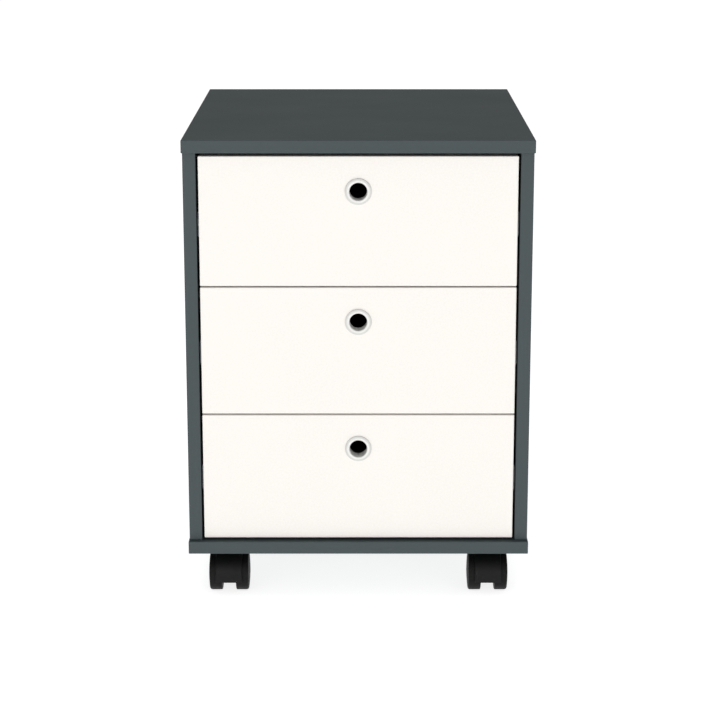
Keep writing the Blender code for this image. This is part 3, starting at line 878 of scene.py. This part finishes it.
def make_rail_screws(material):
    """Screws in the rails' holes: round heads on the drawers, flush heads under the ball cages."""
    round_head = pan_head(*RAIL_SCREW)
    flush_head = flat_head(*FLUSH_SCREW)
    for drawer in DRAWERS:
        on_drawer = []
        on_cabinet = []
        for side, direction in SIDES:
            low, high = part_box(f"{drawer}_{side}_drawer_rail")
            web = (low.x if direction > 0 else high.x) + direction * (RAIL_SHEET + SEAT_GAP)
            low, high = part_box(f"{drawer}_{side}_cabinet_rail")
            back = (high.x if direction > 0 else low.x) - direction * SEAT_GAP
            middle = (low.z + high.z) / 2
            for along in (low.y + RAIL_SCREW_INSET, high.y - RAIL_SCREW_INSET):
                on_drawer.append(facing((web, along, middle), (direction, 0, 0)))
                on_cabinet.append(facing((back, along, middle), (-direction, 0, 0)))
        for name, head, places, body in (
            ("rail_screws", round_head, on_drawer, drawer),
            ("cabinet_rail_screws", flush_head, on_cabinet, "carcass"),
        ):
            piece(f"{drawer}_{name}", placed(head, places), material, body, "zinc_plated_steel")


def make_box_fittings(material):
    """Cams that hold each drawer front, and screws that hold each drawer's back."""
    cam = flat_head(*CAM)
    head = flat_head(*BOX_SCREW)
    for drawer in DRAWERS:
        cams = []
        screws = []
        for side, direction in SIDES:
            low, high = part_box(f"{drawer}_{side}_side")
            inner, outer = (low.x, high.x) if direction > 0 else (high.x, low.x)
            for up in (low.z + BOX_CAM_INSET, high.z - BOX_CAM_INSET):
                spot = (inner - direction * SEAT_GAP, low.y + BOX_CAM_INSET, up)
                cams.append(facing(spot, (-direction, 0, 0)))
            for up in (low.z + BOX_SCREW_INSET, high.z - BOX_SCREW_INSET):
                spot = (outer + direction * SEAT_GAP, high.y - BOX_BOARD / 2, up)
                screws.append(facing(spot, (direction, 0, 0)))
        piece(f"{drawer}_front_cams", placed(cam, cams), material, drawer, "zinc_plated_steel")
        piece(f"{drawer}_back_screws", placed(head, screws), material, drawer, "zinc_plated_steel")


def make_carcass_fittings(material):
    """Cams that hold the top, and screws through the bottom panel into the sides."""
    cam = flat_head(*CAM)
    head = flat_head(*PANEL_SCREW)
    cams = []
    screws = []
    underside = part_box("bottom_panel")[0].z - SEAT_GAP
    for side, direction in SIDES:
        low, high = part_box(f"{side}_side_panel")
        inner = low.x if direction > 0 else high.x
        for along in (low.y + PANEL_FITTING_INSET, high.y - PANEL_FITTING_INSET):
            spot = (inner - direction * SEAT_GAP, along, high.z - TOP_CAM_DROP)
            cams.append(facing(spot, (-direction, 0, 0)))
            screws.append(facing(((low.x + high.x) / 2, along, underside), (0, 0, -1)))
    piece("top_panel_cams", placed(cam, cams), material, "carcass", "zinc_plated_steel")
    piece("bottom_panel_screws", placed(head, screws), material, "carcass", "zinc_plated_steel")


def make_lamp(name, place, size, power):
    """A large soft lamp that faces the middle of the cabinet."""
    lamp = bpy.data.lights.new(name, "AREA")
    lamp.shape = "RECTANGLE"
    lamp.size, lamp.size_y = size
    lamp.energy = power
    holder = bpy.data.objects.new(name, lamp)
    bpy.context.scene.collection.objects.link(holder)
    holder.location = place
    aim = (cad_box[0] + cad_box[1]) / 2 - Vector(place)
    holder.rotation_euler = aim.to_track_quat("-Z", "Y").to_euler()


def make_floor():
    """A plain pale floor, softly lit from below as a light table is."""
    work = bmesh.new()
    bmesh.ops.create_grid(work, x_segments=FLOOR_CELLS, y_segments=FLOOR_CELLS, size=FLOOR_REACH)
    floor = bpy.data.objects.new("floor", meshed(work))
    bpy.context.scene.collection.objects.link(floor)
    glow = {"Emission Color": (1, 1, 1, 1), "Emission Strength": FLOOR_GLOW}
    finish = Finish("pale_floor", {"Specular IOR Level": 0.0, **glow})
    mottle = finish.spread(finish.noise(FLOOR_MOTTLE, 3.0))
    colour = finish.mixed(mottle, tone(214, 214, 213), tone(218, 218, 217))
    roughness = finish.spread(mottle, 0.8, 0.9)
    floor.data.materials.append(finish.done(colour, roughness, finish.relief(mottle, FLOOR_DEPTH)))


def make_world():
    """Soft studio surround: bright ahead of the cabinet, dimmer behind it, white to the eye."""
    world = bpy.data.worlds.new("studio")
    bpy.context.scene.world = world
    world.use_nodes = True
    tree = world.node_tree
    sight = tree.nodes["Background"]
    sight.inputs["Color"].default_value = (1, 1, 1, 1)
    glow = tree.nodes.new("ShaderNodeBackground")
    coordinates = tree.nodes.new("ShaderNodeTexCoord")
    parts = tree.nodes.new("ShaderNodeSeparateXYZ")
    fade = tree.nodes.new("ShaderNodeMapRange")
    fade.inputs["From Min"].default_value = -1.0
    fade.inputs["From Max"].default_value = 1.0
    fade.inputs["To Min"].default_value = SURROUND_AHEAD
    fade.inputs["To Max"].default_value = SURROUND_BEHIND
    path = tree.nodes.new("ShaderNodeLightPath")
    choice = tree.nodes.new("ShaderNodeMixShader")
    tree.links.new(coordinates.outputs["Generated"], parts.inputs[0])
    tree.links.new(parts.outputs["Y"], fade.inputs["Value"])
    tree.links.new(fade.outputs[0], glow.inputs["Strength"])
    tree.links.new(path.outputs["Is Camera Ray"], choice.inputs[0])
    tree.links.new(glow.outputs[0], choice.inputs[1])
    tree.links.new(sight.outputs[0], choice.inputs[2])
    tree.links.new(choice.outputs[0], tree.nodes["World Output"].inputs["Surface"])


def make_camera():
    """A camera at the photo's viewing angle."""
    camera = bpy.data.objects.new("camera", bpy.data.cameras.new("camera"))
    bpy.context.scene.collection.objects.link(camera)
    camera.location = CAMERA_PLACE
    camera.rotation_euler = (math.radians(90 - CAMERA_TILT), 0, 0)
    camera.data.lens = CAMERA_LENS
    camera.data.shift_y = CAMERA_SHIFT
    bpy.context.scene.camera = camera


def make_studio():
    """Camera, floor, surround and lamps, with colours shown as they are."""
    make_camera()
    make_floor()
    make_world()
    for lamp in LAMPS:
        make_lamp(*lamp)
    bpy.context.scene.view_settings.view_transform = "Standard"


def make_fittings():
    """Caster plates, screws and cams, all of the same plated steel."""
    plated = steel_finish("zinc_plate", tone(190, 192, 194), tone(146, 149, 152), (0.32, 0.50))
    make_plates(plated)
    make_rail_screws(plated)
    make_box_fittings(plated)
    make_carcass_fittings(plated)


smoother = smoothing_group()
make_studio()
dress_carcass()
dress_drawers()
make_grip_rings()
make_slides()
make_wheels()
make_hoods()
make_fittings()
